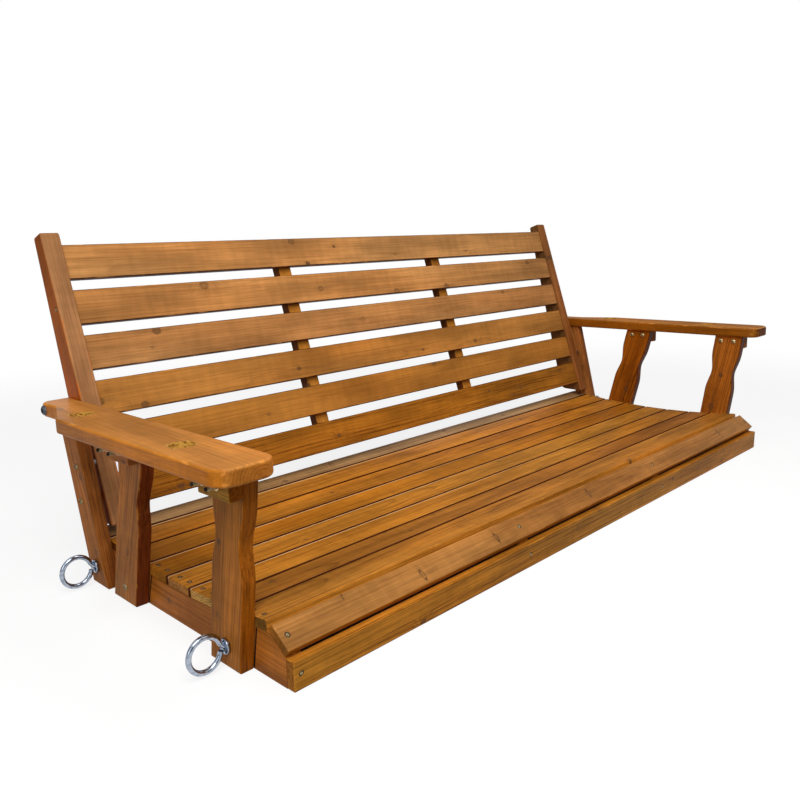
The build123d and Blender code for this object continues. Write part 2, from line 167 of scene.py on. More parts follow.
# %% [markdown]
# ## Light and floor
# The swing was pictured against plain white. A large soft lamp hangs above and ahead of it, weaker
# ones stand in front, beside it and over the seat, and an even world fills the shadows. Rays that
# come from the camera or from a shiny surface see a white world, while the rest see a dimmer one,
# so the background is white without more light on the wood. The floor works the same way further
# off. Near the swing it is plain paper that keeps the shadow, and under the swing the paper is
# darker, as painted shade.

# %% Make the white studio world
fill_level = 0.25


def seen_directly(tree):
    """1 for rays from the camera or by way of a mirror or glass, and 0 for the rest."""
    path = put(tree, "LightPath").outputs
    seen = calc(tree, "MAXIMUM", path["Is Camera Ray"], path["Is Glossy Ray"])
    return calc(tree, "MAXIMUM", seen, path["Is Transmission Ray"])


world = bpy.data.worlds.new("studio")
bpy.context.scene.world = world
world.use_nodes = True
sky = world.node_tree
sky.nodes.clear()
fill = put(sky, "Background", {"Color": (1, 1, 1, 1), "Strength": fill_level})
white = put(sky, "Background", {"Color": (1, 1, 1, 1), "Strength": 1.0})
choice = {0: seen_directly(sky), 1: fill.outputs[0], 2: white.outputs[0]}
choice = put(sky, "MixShader", choice)
put(sky, "OutputWorld", {"Surface": choice.outputs[0]})
print("world fills at", fill_level)

# %% Hang the soft lamps
def soft_lamp(name, place, target, size, power, spread=180):
    lamp = bpy.data.objects.new(name, bpy.data.lights.new(name, "AREA"))
    lamp.data.shape = "DISK"
    lamp.data.size = size
    lamp.data.energy = power
    lamp.data.spread = radians(spread)
    lamp.location = place
    lamp.rotation_euler = (Vector(target) - Vector(place)).to_track_quat("-Z", "Y").to_euler()
    bpy.context.scene.collection.objects.link(lamp)


swing_middle = (0, 0, 0.2)
soft_lamp("lamp above", (-1.4, -1.5, 2.3), swing_middle, 1.8, 45)
soft_lamp("lamp over the seat", (0.05, -0.4, 1.9), (0.05, -0.1, 0.2), 0.7, 2.0, 75)
soft_lamp("lamp in front", (1.2, -2.8, 1.8), swing_middle, 1.8, 7)
soft_lamp("lamp beside", (-2.6, -0.7, 0.9), (-0.4, 0, 0.15), 1.2, 8.5)
print("lamps", [lamp.name for lamp in bpy.data.lights])

# %% Lay the pale floor
floor_reach = 60.0
floor_place = (0, 0, -0.0005)
paper_white = (0.22, 0.22, 0.22, 1)
paper_under_shade = (0.08, 0.08, 0.08, 1)
paper_lift = 0.82
shade_reach = (1.3, 2.6)
under_middle = (0.02, -0.06, 0)
under_half = (0.75, 0.27, 1)

bpy.ops.mesh.primitive_circle_add(
    vertices=64, radius=floor_reach, fill_type="NGON", location=floor_place)
floor = bpy.context.object
floor.name = "floor"
paper, sheet = new_material("white paper")
spot = put(sheet, "TexCoord").outputs["Object"]
under = turn(sheet, "ABSOLUTE", turn(sheet, "SUBTRACT", spot, under_middle))
under = turn(sheet, "DIVIDE", under, under_half)
under = parts(sheet, under)
outside = slope(sheet, calc(sheet, "MAXIMUM", under[0], under[1]), 0.93, 1.03)
far = slope(sheet, turn(sheet, "LENGTH", spot), *shade_reach)
seen = seen_directly(sheet)
lift = times(sheet, seen, times(sheet, outside, paper_lift))
# Under the swing the paper is darker: painted shade where little light reaches.
matt = put(sheet, "BsdfDiffuse", {"Color": mixed(sheet, outside, paper_under_shade, paper_white)})
glow = put(sheet, "Emission", {"Color": (1, 1, 1, 1), "Strength": lift})
near = put(sheet, "AddShader", {0: matt.outputs[0], 1: glow.outputs[0]})
white = put(sheet, "Emission", {"Color": (1, 1, 1, 1), "Strength": 1.0})
both = {0: times(sheet, far, seen), 1: near.outputs[0], 2: white.outputs[0]}
both = put(sheet, "MixShader", both)
put(sheet, "OutputMaterial", {"Surface": both.outputs[0]})
floor.data.materials.append(paper)
print("floor reaches", floor_reach, "m")

# %% [markdown]
# ## Dark cards
# Bright metal in a white room mirrors nothing but white, and the eye bolts would fade into the
# background. Dark cards give it something to mirror. They could be planes set up one by one, but a
# tall open cylinder stands all round, and deleting some of its panels leaves bright gaps between
# the dark bands. Only reflections see it.

# %% Helpers that select
def mode(name):
    bpy.ops.object.mode_set(mode=name)


def select_only(*pieces):
    bpy.ops.object.select_all(action="DESELECT")
    for piece in pieces:
        piece.select_set(True)
    bpy.context.view_layer.objects.active = pieces[0]


def pick(piece, test):
    """Goes into edit mode with only the faces selected that pass the test."""
    select_only(piece)
    mode("EDIT")
    bpy.ops.mesh.select_mode(type="FACE")
    bpy.ops.mesh.select_all(action="DESELECT")
    mode("OBJECT")
    for face in piece.data.polygons:
        face.select = test(face)
    mode("EDIT")


print("selecting helpers ready")

# %% Stand the cards round the stage
card_count, card_ring = 48, 4.0
card_low, card_high = 0.15, 2.6
card_step, card_gap = 6, 2
felt_grey = (0.05, 0.055, 0.07, 1)

bpy.ops.mesh.primitive_cylinder_add(
    vertices=card_count, radius=card_ring, depth=card_high - card_low,
    end_fill_type="NOTHING", location=(0, 0, (card_low + card_high) / 2))
cards = bpy.context.object
cards.name = "dark_cards"
pick(cards, lambda face: face.index % card_step < card_gap)
bpy.ops.mesh.delete(type="FACE")
mode("OBJECT")
felt, cloth = new_material("dark felt")
shade = put(cloth, "Emission", {"Color": felt_grey, "Strength": 1.0})
put(cloth, "OutputMaterial", {"Surface": shade.outputs[0]})
cards.data.materials.append(felt)
for ray in ("camera", "diffuse", "shadow", "transmission", "volume_scatter"):
    setattr(cards, "visible_" + ray, False)
print(len(cards.data.polygons), "panels stand", card_ring, "m away")

# %% [markdown]
# ## What every board is made of
# The boards are a knotty softwood under an orange-brown stain. Pictures wrapped on six sides would
# not meet at the edges, so the wood is solid: growth rings are circles round a pith that runs
# beside the board, and each face simply cuts through them. Long faces then show lines and arches,
# and ends show arcs. Everything below works in millimetres, along, across and through a board.

# %% Start the group that turns a place in a board into wood
wood_inputs = {
    "Board": "Vector", "Facing": "Vector", "Pith": "Vector", "Offset": "Vector",
    "Ring width": "Float", "Contrast": "Float", "Figure": "Float",
    "Pale": "Color", "Deep": "Color",
    "Face": "Color", "Side": "Color", "End": "Color", "Edge": "Color",
    "Knot": "Float", "Swirl": "Float",
}
wood_outputs = {"Color": "Color", "Roughness": "Float", "Height": "Float"}
wood, given = new_group("stained softwood", wood_inputs, wood_outputs)


def along_grain(length, width, detail=2.0, rough=0.5):
    """Noise drawn out along the grain: length and width are its usual size in millimetres."""
    place = turn(wood, "MULTIPLY", given["Board"], (1 / length, 1 / width, 1 / width))
    place = turn(wood, "ADD", place, given["Offset"])
    return noise(wood, place, detail, rough)


print("wood group takes", len(wood_inputs), "inputs")

# %% Tell ends, sides and rounded edges from flat faces
facing = parts(wood, turn(wood, "ABSOLUTE", given["Facing"]))
end = slope(wood, facing[0], 0.72, 0.95)
side = slope(wood, facing[1], 0.20, 0.60)
flatness = calc(wood, "MAXIMUM", calc(wood, "MAXIMUM", facing[0], facing[1]), facing[2])
edge = slope(wood, flatness, 0.995, 0.90)
print("ends, sides and edges found")

# %% Growth rings round a wandering pith
noise_middle = (0.5, 0.5, 0.5)
pith_wander = (0, 22, 22)
late_stops = ((0.0, 0.34), (0.12, 0.05), (0.55, 0.12), (0.84, 0.60), (0.94, 1.0), (1.0, 0.34))

wander = turn(wood, "SUBTRACT", along_grain(420, 120)["Color"], noise_middle)
wander = turn(wood, "MULTIPLY", wander, pith_wander)
from_pith = turn(wood, "SUBTRACT", turn(wood, "ADD", given["Board"], wander), given["Pith"])
distance = turn(wood, "LENGTH", turn(wood, "MULTIPLY", from_pith, (0, 1, 1)))
board_along = parts(wood, given["Board"])[0]
taper = parts(wood, given["Pith"])[0]
distance = calc(wood, "ADD", distance, times(wood, board_along, taper))
distance = calc(wood, "ADD", distance, given["Swirl"])
ring = calc(wood, "DIVIDE", distance, given["Ring width"])
ring_part = calc(wood, "FRACT", ring)
late_wood = put(wood, "ValToRGB", {0: ring_part})
while len(late_wood.color_ramp.elements) < len(late_stops):
    late_wood.color_ramp.elements.new(0.5)
for stop, (position, grey) in zip(late_wood.color_ramp.elements, late_stops):
    stop.position = position
    stop.color = (grey, grey, grey, 1)
ring_number = calc(wood, "FLOOR", ring)
chance = put(wood, "TexWhiteNoise", {"W": ring_number}, noise_dimensions="1D")
ring_strength = slope(wood, chance.outputs["Value"], 0, 1, 0.35, 1.0)
rings = times(wood, late_wood.outputs[0], ring_strength)
print("rings have", len(late_stops), "stops")

# %% Fibres, and how deep the stain goes in
even_depth, stain_depth = 0.30, 0.40
end_gain, edge_loss, end_fibre_loss = 1.6, 0.7, 0.75

fibres = along_grain(90, 2.4, 5, 0.68)["Fac"]
hairs = along_grain(16, 0.4, 2)["Fac"]
lines = along_grain(700, 4.2, 3, 0.6)["Fac"]
end_share = calc(wood, "MULTIPLY_ADD", end, end_gain, 1.0)
edge_share = calc(wood, "MULTIPLY_ADD", edge, -edge_loss, 1.0)
fibre_share = calc(wood, "MULTIPLY_ADD", end, -end_fibre_loss, 1.0)

contrast = times(wood, times(wood, given["Contrast"], end_share), edge_share)
depth = times(wood, rings, contrast)
depth = calc(wood, "ADD", depth, slope(wood, lines, 0.45, 0.62, -0.14, 0.26))
fibre_depth = slope(wood, fibres, 0.28, 0.72, -0.24, 0.36)
depth = calc(wood, "ADD", depth, times(wood, fibre_share, fibre_depth))
depth = calc(wood, "ADD", depth, slope(wood, hairs, 0.25, 0.75, -0.12, 0.12))
depth = times(wood, calc(wood, "SUBTRACT", depth, even_depth), given["Figure"])
depth = calc(wood, "ADD", depth, stain_depth, clamp=True)
color = mixed(wood, depth, given["Pale"], given["Deep"])
print("fibres and stain added")

# %% Clouds, reddish stretches and dark streaks
red_dye = (1.0, 0.84, 0.66, 1)
streak_dye = (0.50, 0.38, 0.28, 1)

clouds = along_grain(240, 55, 3)["Fac"]
redness = along_grain(520, 130, 1)["Color"]
streaks = slope(wood, along_grain(330, 3.5, 2)["Fac"], 0.57, 0.76, 0.0, 0.28)
mottle = along_grain(15, 60, 2)["Fac"]
color = dyed(wood, color, slope(wood, clouds, 0.28, 0.72, 0.70, 1.24))
color = dyed(wood, color, slope(wood, mottle, 0.3, 0.7, 0.95, 1.06))
red_share = put(wood, "SeparateColor", {0: redness}).outputs[1]
red_share = slope(wood, red_share, 0.35, 0.7, 0.0, 0.55)
color = mixed(wood, red_share, color, dyed(wood, color, red_dye))
color = mixed(wood, streaks, color, dyed(wood, color, streak_dye))
print("clouds and streaks added")

# %% Tints of ends and sides with painted shade, worn and highlit edges, and knots
rub_and_glint_dye = (1.3, 1.25, 1.1, 1)
knot_pale, knot_deep = tone(104, 72, 44), tone(58, 34, 20)
knot_rings = 0.6

# The side and edge tints also paint the shade that falls on sides and rounded edges.
tint = mixed(wood, side, given["Face"], given["Side"])
color = dyed(wood, color, mixed(wood, end, tint, given["End"]))
color = mixed(wood, edge, color, dyed(wood, color, given["Edge"]))
# Rounded edges are partly rubbed to bare wood and partly lit by a painted highlight.
rub_and_glint = slope(wood, along_grain(45, 9, 3)["Fac"], 0.54, 0.66, 0.0, 0.6)
rub_and_glint_wood = dyed(wood, dyed(wood, given["Pale"], given["Face"]), rub_and_glint_dye)
color = mixed(wood, times(wood, edge, rub_and_glint), color, rub_and_glint_wood)
knot_depth = times(wood, late_wood.outputs[0], knot_rings)
color = mixed(wood, given["Knot"], color, mixed(wood, knot_depth, knot_pale, knot_deep))
print("edges and knots added")

# %% Gloss and relief of the wood
least_rough, most_rough = 0.36, 0.50
end_rough, ring_shine = 0.16, 0.06
ring_rise, fibre_rise, hair_rise, knot_dip = 0.5, 0.6, 0.25, 0.3

gloss = slope(wood, fibres, 0.2, 0.8, least_rough, most_rough)
gloss = calc(wood, "ADD", gloss, times(wood, end, end_rough))
gloss = calc(wood, "SUBTRACT", gloss, times(wood, rings, ring_shine))
height = calc(wood, "ADD", times(wood, rings, ring_rise), times(wood, fibres, fibre_rise))
height = calc(wood, "ADD", height, times(wood, hairs, hair_rise))
height = calc(wood, "SUBTRACT", height, times(wood, given["Knot"], knot_dip))
put(wood, "NodeGroupOutput", {"Color": color, "Roughness": gloss, "Height": height})
print("wood group has", len(wood.nodes), "nodes")

# %% [markdown]
# ## Knots
# A knot is where a branch grew out through the board, so it is a dark oval on both faces, and the
# rings around it swing aside. A cell texture would scatter knots anywhere. Here each knot is one
# small group at a chosen place, and a board takes as many of them in a row as it has knots.

# %% Make one knot
knot_inputs = {
    "Board": "Vector", "Place": "Vector", "Stretch": "Vector",
    "Radius": "Float", "Heart": "Float", "Bark": "Float", "Knot": "Float", "Swirl": "Float",
}
raggedness = (5, 5, 5)
lash_stretch = (0.13, 1.3, 0)

knot, at = new_group("branch knot", knot_inputs, {"Knot": "Float", "Swirl": "Float"})
ragged = turn(knot, "SUBTRACT", noise(knot, at["Board"], 2.0, scale=0.22)["Color"], noise_middle)
ragged = turn(knot, "MULTIPLY", ragged, raggedness)
offset = turn(knot, "ADD", turn(knot, "SUBTRACT", at["Board"], at["Place"]), ragged)
flat = turn(knot, "MULTIPLY", offset, at["Stretch"])
reach = calc(knot, "DIVIDE", turn(knot, "LENGTH", flat), at["Radius"])
core = times(knot, slope(knot, reach, 1.0, 0.40), at["Heart"])
bark = times(knot, slope(knot, reach, 0.35, 0.72), slope(knot, reach, 1.05, 0.76))
lash = turn(knot, "LENGTH", turn(knot, "MULTIPLY", offset, lash_stretch))
lash = slope(knot, calc(knot, "DIVIDE", lash, at["Radius"]), 1.1, 0.1, 0.0, 0.30)
dark = calc(knot, "ADD", core, times(knot, bark, at["Bark"]))
dark = calc(knot, "MAXIMUM", dark, lash, clamp=True)
aside = times(knot, at["Radius"], 1.1)
aside = times(knot, slope(knot, reach, 3.2, 0.3), aside)
knot_out = {
    "Knot": calc(knot, "MAXIMUM", dark, at["Knot"]),
    "Swirl": calc(knot, "ADD", aside, at["Swirl"]),
}
put(knot, "NodeGroupOutput", knot_out)
print("knot group has", len(knot.nodes), "nodes")

# %% [markdown]
# ## Finding each board's own directions
# The grain runs along a board whichever way it leans. Its directions could be typed in, but the
# mesh already knows them: most of its surface faces through the thickness, less faces across the
# width, and only the two small ends face along the grain.

# %% Measure a board
def board_axes(node):
    """Middle of a board, and a matrix whose columns run along, across and through it."""
    mesh = frame["nodes"][node].data
    normals = np.zeros(len(mesh.polygons) * 3)
    areas = np.zeros(len(mesh.polygons))
    mesh.polygons.foreach_get("normal", normals)
    mesh.polygons.foreach_get("area", areas)
    normals = normals.reshape(-1, 3)
    spread = (normals * areas[:, None]).T @ normals
    along, across, through = np.linalg.eigh(spread)[1].T
    along *= np.sign(along[np.argmax(np.abs(along))])
    through *= np.sign(through @ np.array((-0.1, -0.5, 1.0)))
    across = np.cross(through, along)
    low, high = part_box(node)
    return (low + high) / 2, Matrix((along, across, through)).transposed()


for node in ("seat_slat_1", "back_post_left", "armrest_left"):
    print(node, "grain", [round(c, 3) for c in board_axes(node)[1].col[0]])

# %% [markdown]
# ## Staining the boards
# The boards were cut from different planks, so each one takes its own pith, ring width and depth of
# stain, and its faces, sides and ends took the stain differently too. The darker sides and edges
# also paint the shade that falls on them, and a few tints paint a sheen. One material for all would
# repeat the same marks, so a loop makes one material a board from the shared group, and only the
# numbers differ: tints, the strength of the figure, the colour of the rounded edges and the knots.

# %% Stains of the four kinds of board
stains = {
    "seat_wood": (tone(202, 130, 42), tone(106, 56, 10)),
    "back_wood": (tone(203, 138, 66), tone(116, 68, 22)),
    "arm_wood": (tone(204, 128, 47), tone(130, 70, 17)),
    "frame_wood": (tone(202, 123, 48), tone(90, 49, 13)),
}
tints = {
    "plain": (1, 1, 1),
    "golden": (1.05, 1.15, 1.35),
    "bright amber": (1.18, 1.10, 0.66),
    "amber": (0.90, 0.88, 0.72),
    "dark amber": (0.70, 0.62, 0.27),
    "dull tan": (0.93, 1.0, 1.4),
    "tan": (1.04, 1.18, 1.9),
    "light tan": (1.21, 1.37, 2.1),
    "pale tan": (1.4, 2.2, 6.0),
    "pink tan": (1.22, 1.68, 4.4),
    "dull": (0.87, 0.95, 0.95),
    "brown": (0.80, 0.80, 1.1),
    "dark brown": (0.44, 0.56, 1.1),
    "pink brown": (0.95, 1.10, 2.7),
    "grey brown sheen": (0.85, 1.24, 4.6),
    "russet": (0.95, 0.68, 0.32),
    "dark russet": (0.48, 0.33, 0.5),
    "umber": (0.30, 0.20, 0.13),
    "dark umber": (0.22, 0.12, 0.08),
    "end grain": (0.85, 0.92, 1.6),
    "olive": (0.95, 1.45, 1.2),
}
# The dark side tints of the seat and back slats are painted shade on the sides that face into the gaps.
kind_tints = {
    "seat_wood": ("plain", "umber", "end grain"),
    "back_wood": ("plain", "dark umber", "end grain"),
    "arm_wood": ("light tan", "bright amber", "plain"),
    "frame_wood": ("plain", "dark amber", "end grain"),
}
# Besides each board's own tone, some tints paint light: the paler tans of the upper back slats are
# partly a painted sheen and the dark amber of the lowest partly painted shade, the umber sides of the
# back stiles and the dark brown face of back_post_right are painted shade, and the grey brown face of
# seat_slat_8 is a painted sheen.
board_tints = {
    "back_slat_1": ("dark amber", "dark umber", "dark amber"),
    "back_slat_2": ("amber", "dark umber", "amber"),
    "back_slat_4": ("tan", "dark umber", "tan"),
    "back_slat_5": ("light tan", "dark umber", "tan"),
    "back_slat_6": ("light tan", "dark umber", "tan"),
    "back_stile_left": ("bright amber", "umber", "umber"),
    "back_stile_right": ("bright amber", "umber", "umber"),
    "seat_slat_1": ("dull tan", "golden", "dark brown"),
    "seat_slat_2": ("brown", "umber", "end grain"),
    "seat_slat_3": ("golden", "umber", "pale tan"),
    "seat_slat_4": ("golden", "umber", "pink brown"),
    "seat_slat_5": ("amber", "umber", "plain"),
    "seat_slat_7": ("plain", "dark umber", "umber"),
    "seat_slat_8": ("grey brown sheen", "umber", "end grain"),
    "front_waterfall_slat": ("pink brown", "plain", "brown"),
    "front_apron": ("golden", "plain", "brown"),
    "armrest_right": ("light tan", "dark amber", "umber"),
    "front_arm_post_left": ("dull", "dark amber", "end grain"),
    "rear_arm_post_left": ("golden", "dark russet", "end grain"),
    "front_arm_post_right": ("amber", "umber", "end grain"),
    "rear_arm_post_right": ("dark amber", "umber", "end grain"),
    "back_post_left": ("russet", "pink tan", "end grain"),
    "back_post_right": ("dark brown", "end grain", "end grain"),
    "back_strut_left": ("amber", "brown", "end grain"),
    "back_strut_right": ("tan", "brown", "end grain"),
    "front_arm_cleat_left": ("olive", "olive", "dark amber"),
}
# Most edge tints darken the rounded edges, partly stain gathered there and partly painted shade where
# the edges turn from the light, most on the bottom edges of the back slats; the armrests' paler edge
# tint is partly a painted highlight.
edge_tints = {
    "seat_wood": (0.92, 0.80, 0.66),
    "back_wood": (0.8, 0.8, 0.85),
    "arm_wood": (1.0, 1.05, 1.2),
    "frame_wood": (0.9, 0.86, 0.8),
}
plain_edges = ("front_waterfall_slat", "front_apron")
figures = {"seat_wood": 0.8, "back_wood": 0.4, "arm_wood": 0.38, "frame_wood": 0.85}
board_figures = {
    "back_slat_1": 1.2,
    "front_waterfall_slat": 0.5,
    "front_apron": 1.1,
    "side_rail_left": 0.6,
    "back_post_left": 0.35,
}
slot_of = {name: node.material_slots[0].material.name for name, node in frame["nodes"].items()}
boards = [name for name in sorted(slot_of) if slot_of[name] in stains]
print(len(boards), "boards,", {slot: list(slot_of.values()).count(slot) for slot in stains})

# %% Where the knots are: along and across the board and radius in millimetres, and darkness
knots = {
    "back_slat_1": [(303, 9, 5, 0.5), (401, -17, 5, 0.5), (437, -2, 8, 0.45), (634, 15, 7, 0.4),
                    (-219, -4, 5, 0.7), (-601, -21, 7, 0.6)],
    "back_slat_2": [(124, 25, 6, 0.5), (-380, -8, 4, 0.4)],
    "back_slat_3": [(100, -15, 4, 0.8), (299, -16, 6, 0.7), (-279, -9, 5, 0.8),
                    (-630, -25, 7, 0.7), (-708, -6, 7, 0.6)],
    "back_slat_4": [(465, 23, 6, 0.5), (-67, -2, 5, 0.3), (-574, 24, 8, 0.7), (-590, -5, 3, 0.5)],
    "back_slat_5": [(-167, -4, 7, 0.5), (63, -26, 8, 0.45), (244, -25, 8, 0.6),
                    (612, 20, 7, 0.6), (-453, 22, 9, 0.5)],
    "back_slat_6": [(-99, 9, 4, 0.8), (-185, -27, 6, 0.9), (89, -15, 4, 0.5),
                    (354, -16, 4, 0.6), (-216, 23, 8, 0.5)],
    "back_post_left": [(-38, -42, 6, 0.6)],
    "seat_slat_1": [(196, -29, 6, 0.8), (-327, -1, 4, 0.3), (520, 12, 5, 0.4)],
    "seat_slat_2": [(-416, 29, 6, 0.8), (-386, -7, 4, 0.6), (-301, 21, 4, 0.6),
                    (-661, 11, 6, 0.6), (240, 6, 5, 0.5)],
    "seat_slat_3": [(-89, 18, 4, 0.4), (350, -10, 4, 0.5)],
    "seat_slat_4": [(49, 17, 5, 0.7), (-520, -14, 4, 0.5)],
    "seat_slat_5": [(430, 8, 6, 0.6), (-250, -16, 4, 0.4)],
    "seat_slat_6": [(-337, 3, 5, 0.7), (1, 27, 5, 0.6)],
    "seat_slat_7": [(373, 2, 5, 0.8), (-480, 14, 5, 0.4)],
    "seat_slat_8": [(-369, -9, 6, 0.7), (-236, 7, 5, 0.5), (134, 6, 6, 0.6), (365, 0, 6, 0.5)],
    "front_waterfall_slat": [(-488, -5, 7, 0.15), (-305, -1, 7, 0.15), (-634, 17, 4, 0.4),
                             (-16, 2, 7, 0.3), (579, 3, 6, 0.4)],
    "front_apron": [(-511, -17, 6, 0.7), (-93, 5, 6, 0.3), (288, 8, 5, 0.7),
                    (546, -10, 6, 0.4), (-16, 20, 5, 0.4)],
    "front_arm_post_left": [(88, -40, 8, 0.8), (34, 20, 4, 0.9), (-75, 14, 5, 0.3)],
    "front_arm_post_right": [(37, 2, 6, 0.8), (-52, 7, 9, 0.6)],
    "rear_arm_post_left": [(-51, -7, 5, 0.5)],
    "rear_arm_post_right": [(-29, -11, 7, 0.6)],
    "side_rail_left": [(24, 9, 5, 0.7)],
    "armrest_left": [(205, 20, 8, 0.4)],
}
spike_knots = ("front_waterfall_slat",)
hidden_count = 2
draw = Random(41)


def hidden_knots(node):
    """A board whose knots the picture does not show gets a few of its own."""
    low, high = (corner * 1000 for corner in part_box(node))
    half = max(high - low) / 2
    ranges = ((-0.9 * half, 0.9 * half), (-16, 16), (4, 8), (0.4, 0.8))
    return [tuple(draw.uniform(*limits) for limits in ranges) for _ in range(hidden_count)]


for node in boards:
    knots.setdefault(node, hidden_knots(node))
print(sum(len(places) for places in knots.values()), "knots on", len(knots), "boards")

# %% Boards cut beside the heart of the tree: taper and place of the pith, and ring width
heart_boards = {
    "armrest_left": ((0.004, -28, -15), 4.6),
    "armrest_right": ((0.004, 22, -16), 4.4),
}
print(len(heart_boards), "boards show arcs at their ends")

# %% [markdown]
# ## Chain holes
# Each armrest has two holes for the hanging chains. They were drilled after the board was stained,
# so their walls are bare yellow wood with dark marks from the drill, and the fibres at the rim are
# torn. A second board could stand in for the wall, but a mask by distance from each hole's axis
# paints it on the board itself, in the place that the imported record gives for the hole.

# %% Bare wood in a bored hole
torn_grain = (0.12, 0.5, 0.5)
drill_grain = (0.10, 0.25, 0.9)
raw_pale, raw_dark = tone(226, 172, 78), tone(112, 66, 20)

bore_inputs = {"Board": "Vector", "Place": "Vector", "Radius": "Float", "Color": "Color"}
bore, at = new_group("bare bore", bore_inputs, {"Color": "Color"})


def bore_noise(grain):
    return noise(bore, turn(bore, "MULTIPLY", at["Board"], grain), 3.0)["Fac"]


from_axis = turn(bore, "MULTIPLY", turn(bore, "SUBTRACT", at["Board"], at["Place"]), (1, 1, 0))
rim = calc(bore, "ADD", at["Radius"], slope(bore, bore_noise(torn_grain), 0.48, 0.72, 0.2, 6.0))
bare = slope(bore, calc(bore, "SUBTRACT", turn(bore, "LENGTH", from_axis), rim), 0.5, -0.3)
raw = mixed(bore, slope(bore, bore_noise(drill_grain), 0.46, 0.66), raw_pale, raw_dark)
put(bore, "NodeGroupOutput", {"Color": mixed(bore, bare, at["Color"], raw)})
chain_holes = [mount for mount in frame["record"]["mounts"] if mount["kind"] == "bore"]
print(len(chain_holes), "chain holes, radius", chain_holes[0]["dims"]["r_mm"], "mm")

# %% [markdown]
# ## Painted shade in gaps and grooves, painted highlights on edges
# Shade falls into the gaps between boards, along the front edges of the seat slats and in a groove
# beside the arm posts, and the rear edges of some slats catch a pale highlight. Lines this fine could
# be modelled, but they are only colour, so masks on the distance from an edge, in millimetres, paint
# this shade and these highlights on.

# %% Paint the shade in the gaps and grooves and the highlights on the edges
foot_height = 0.004
# Painted shade in the groove beside each arm post.
groove_reach, painted_groove_shade = (2.4, 0.8), (0.012, 0.008, 0.007, 1)
gap_slats = ["seat_slat_%d" % number for number in range(2, 9)]
# Painted shade along the front edge of each seat slat, beside the gap.
gap_shade_reach, gap_shade_share, gap_shade_dark = (2.5, 1.3), 0.88, tone(64, 24, 7)
# Painted highlight on the rear edges of some slats.
highlit_slats = ("seat_slat_3", "seat_slat_4", "seat_slat_5", "seat_slat_7")
highlight_reach, highlight_depth, highlight_pale = (4.4, 2.6), (3.5, 2.0), tone(240, 196, 144)
highlight_run, highlight_share = (300, -350), (0.1, 0.9)


def in_board(point, middle, axes):
    """A place in the room as millimetres along, across and through a board."""
    return axes.transposed() @ (Vector(point) - Vector(middle)) * 1000


def shade_beside_post(tree, post, board, middle, axes, color):
    """Paints shade in the narrow groove where the front edge of a post meets the rail behind it."""
    points = np.array([v.co[:] for v in frame["nodes"][post].data.vertices])
    foot = points[points[:, 2] < points[:, 2].min() + foot_height]
    corner = in_board(foot[np.argmin(foot[:, 1])], middle, axes)
    run = axes.transposed() @ board_axes(post)[1].col[0]
    across = Vector((run.y, -run.x, 0)).normalized()
    gap = calc(tree, "SUBTRACT", turn(tree, "DOT_PRODUCT", board, across), corner.dot(across))
    return mixed(tree, slope(tree, calc(tree, "ABSOLUTE", gap), *groove_reach), color, painted_groove_shade)


def gap_edges(tree, node, board, middle, axes, color):
    """Paints shade on the front edge of a seat slat beside its gap, and a pale highlight on the rear
    edge of some.
    """
    corners = [in_board(v.co, middle, axes) for v in frame["nodes"][node].data.vertices]
    front, rear = (limit(corner.y for corner in corners) for limit in (min, max))
    top = max(corner.z for corner in corners)
    along, across, through = parts(tree, board)
    gap_shaded = slope(tree, calc(tree, "SUBTRACT", across, front), *gap_shade_reach, 0.0, gap_shade_share)
    color = mixed(tree, gap_shaded, color, gap_shade_dark)
    if node in highlit_slats:
        highlit = slope(tree, calc(tree, "SUBTRACT", rear, across), *highlight_reach)
        highlit = times(tree, highlit, slope(tree, along, *highlight_run, *highlight_share))
        below = calc(tree, "SUBTRACT", top, through)
        highlit = times(tree, highlit, slope(tree, below, *highlight_depth))
        color = mixed(tree, highlit, color, highlight_pale)
    return color


print(len(gap_slats), "slats have dark edges and", len(highlit_slats), "pale ones")

# %% Give every board its wood
knot_shapes = {"spike": ((1.7, 0.6, 0), 0.9), "round": ((0.75, 1, 0), 0.35)}
relief_strength, relief_depth = 0.22, 0.0006
polishes = {"seat_wood": 0.05, "back_wood": 0.05, "arm_wood": 0.09, "frame_wood": 0.05}


def grown(tree, group, inputs):
    return put(tree, "Group", inputs, node_tree=group).outputs


